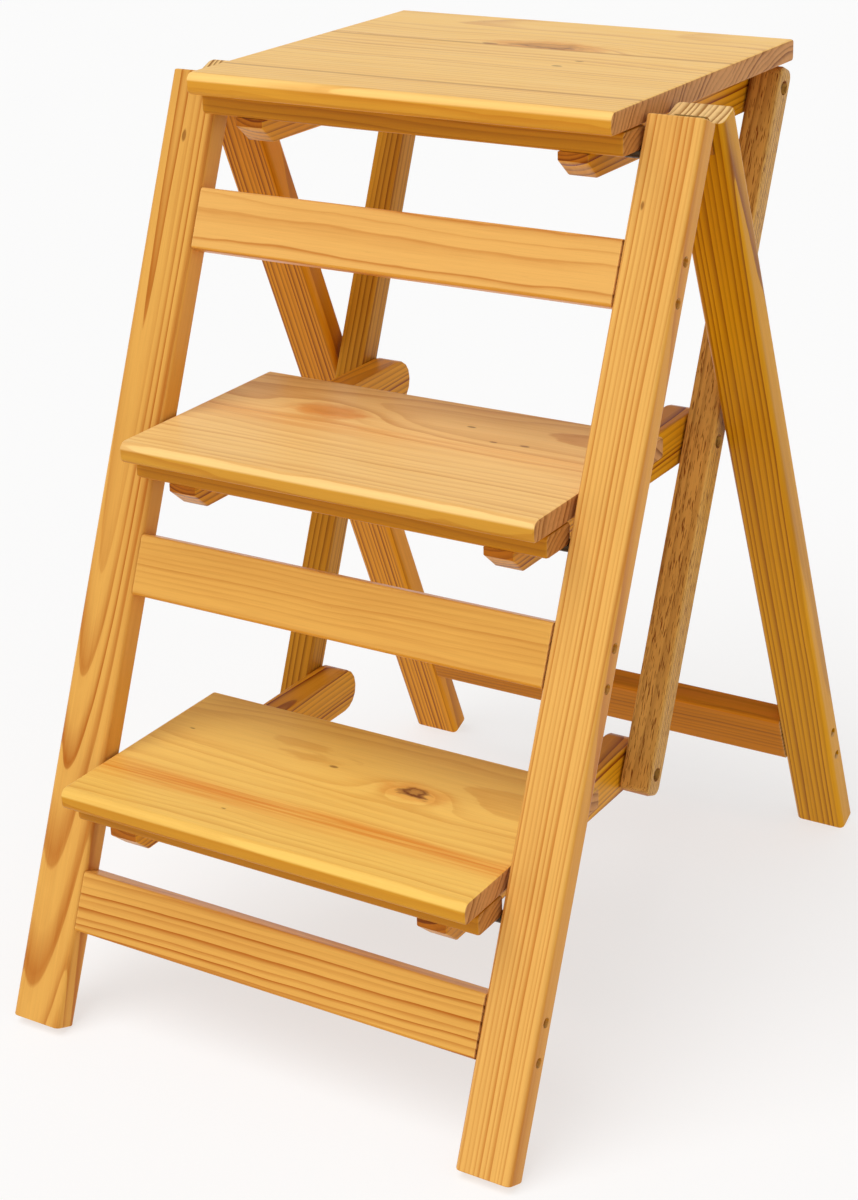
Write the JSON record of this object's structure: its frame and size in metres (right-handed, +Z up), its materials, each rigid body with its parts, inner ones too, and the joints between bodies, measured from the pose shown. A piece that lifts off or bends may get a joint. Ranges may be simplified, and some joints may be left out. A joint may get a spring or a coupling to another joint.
{
  "type": "folding step stool chair",
  "caption": "Folding wooden step stool chair: a leaning front frame with two steps and a seat that fold up together on link bars, and a hinged rear frame.",
  "frame": {"origin": "on the floor, under the middle of the open stool's bounding box", "axes": "+Z up, -Y the front that is climbed and sat on, +X to the right of someone who faces the steps"},
  "size_m": [0.406, 0.5664, 0.6395],
  "materials": {
    "pale_pine": "clear satin varnish",
    "tread_pine": "clear satin varnish",
    "honey_pine": "clear satin varnish",
    "amber_pine": "clear satin varnish",
    "brown_pine": "clear satin varnish",
    "steel": "zinc plated",
    "brass": "brass plated"
  },
  "bodies": {
    "front_frame": {"stringer_left": "pale_pine", "stringer_right": "pale_pine", "front_rail_bottom": "pale_pine", "front_rail_middle": "pale_pine", "front_rail_top": "pale_pine", "front_rail_bottom_screw_left_lower": "steel", "front_rail_bottom_screw_left_upper": "steel", "front_rail_bottom_screw_right_lower": "steel", "front_rail_bottom_screw_right_upper": "steel", "front_rail_middle_screw_left_lower": "steel", "front_rail_middle_screw_left_upper": "steel", "front_rail_middle_screw_right_lower": "steel", "front_rail_middle_screw_right_upper": "steel", "front_rail_top_screw_left_lower": "steel", "front_rail_top_screw_left_upper": "steel", "front_rail_top_screw_right_lower": "steel", "front_rail_top_screw_right_upper": "steel", "bottom_step_front_pivot_left": "steel", "bottom_step_front_pivot_right": "steel", "middle_step_front_pivot_left": "steel", "middle_step_front_pivot_right": "steel", "seat_front_pivot_left": "steel", "seat_front_pivot_right": "steel", "hinge_left_front_leaf": "brass", "hinge_right_front_leaf": "brass", "hinge_left_pin": "brass", "hinge_right_pin": "brass"},
    "seat": {"seat_board": "tread_pine", "seat_nose_strip": "honey_pine", "seat_cleat_left": "honey_pine", "seat_cleat_right": "honey_pine"},
    "middle_step": {"middle_step_board": "tread_pine", "middle_step_nose_strip": "honey_pine", "middle_step_cleat_left": "honey_pine", "middle_step_cleat_right": "honey_pine"},
    "bottom_step": {"bottom_step_board": "tread_pine", "bottom_step_nose_strip": "honey_pine", "bottom_step_cleat_left": "honey_pine", "bottom_step_cleat_right": "honey_pine"},
    "left_link": {"link_bar_left": "brown_pine", "bottom_step_rear_pivot_left": "steel", "middle_step_rear_pivot_left": "steel", "seat_rear_pivot_left": "steel"},
    "right_link": {"link_bar_right": "brown_pine", "bottom_step_rear_pivot_right": "steel", "middle_step_rear_pivot_right": "steel", "seat_rear_pivot_right": "steel"},
    "rear_frame": {"rear_leg_left": "amber_pine", "rear_leg_right": "amber_pine", "rear_rail": "amber_pine", "rear_rail_screw_left_lower": "steel", "rear_rail_screw_left_upper": "steel", "rear_rail_screw_right_lower": "steel", "rear_rail_screw_right_upper": "steel", "hinge_left_rear_leaf": "brass", "hinge_right_rear_leaf": "brass"}
  },
  "joints": [
    {"name": "seat_fold", "type": "hinge", "parent": "front_frame", "child": "seat", "pos_m": [0, -0.02535, 0.60754], "axis": [1, 0, 0], "range_deg": [0, 56.5]},
    {"name": "middle_step_fold", "type": "hinge", "parent": "front_frame", "child": "middle_step", "pos_m": [0, -0.12057, 0.37654], "axis": [1, 0, 0], "range_deg": [0, 56.5]},
    {"name": "bottom_step_fold", "type": "hinge", "parent": "front_frame", "child": "bottom_step", "pos_m": [0, -0.21207, 0.15454], "axis": [1, 0, 0], "range_deg": [0, 56.5]},
    {"name": "left_link_swing", "type": "hinge", "parent": "seat", "child": "left_link", "pos_m": [-0.1475, 0.19704, 0.60754], "axis": [1, 0, 0], "range_deg": [-56.5, 0]},
    {"name": "right_link_swing", "type": "hinge", "parent": "seat", "child": "right_link", "pos_m": [0.1475, 0.19704, 0.60754], "axis": [1, 0, 0], "range_deg": [-56.5, 0]},
    {"name": "rear_frame_fold", "type": "hinge", "parent": "front_frame", "child": "rear_frame", "pos_m": [0, -0.00381, 0.62516], "axis": [-1, 0, 0], "range_deg": [0, 45.4]}
  ],
  "couplings": [
    {"joint": "middle_step_fold", "follows": "seat_fold", "ratio": 1},
    {"joint": "bottom_step_fold", "follows": "seat_fold", "ratio": 1},
    {"joint": "left_link_swing", "follows": "seat_fold", "ratio": -1},
    {"joint": "right_link_swing", "follows": "seat_fold", "ratio": -1}
  ]
}
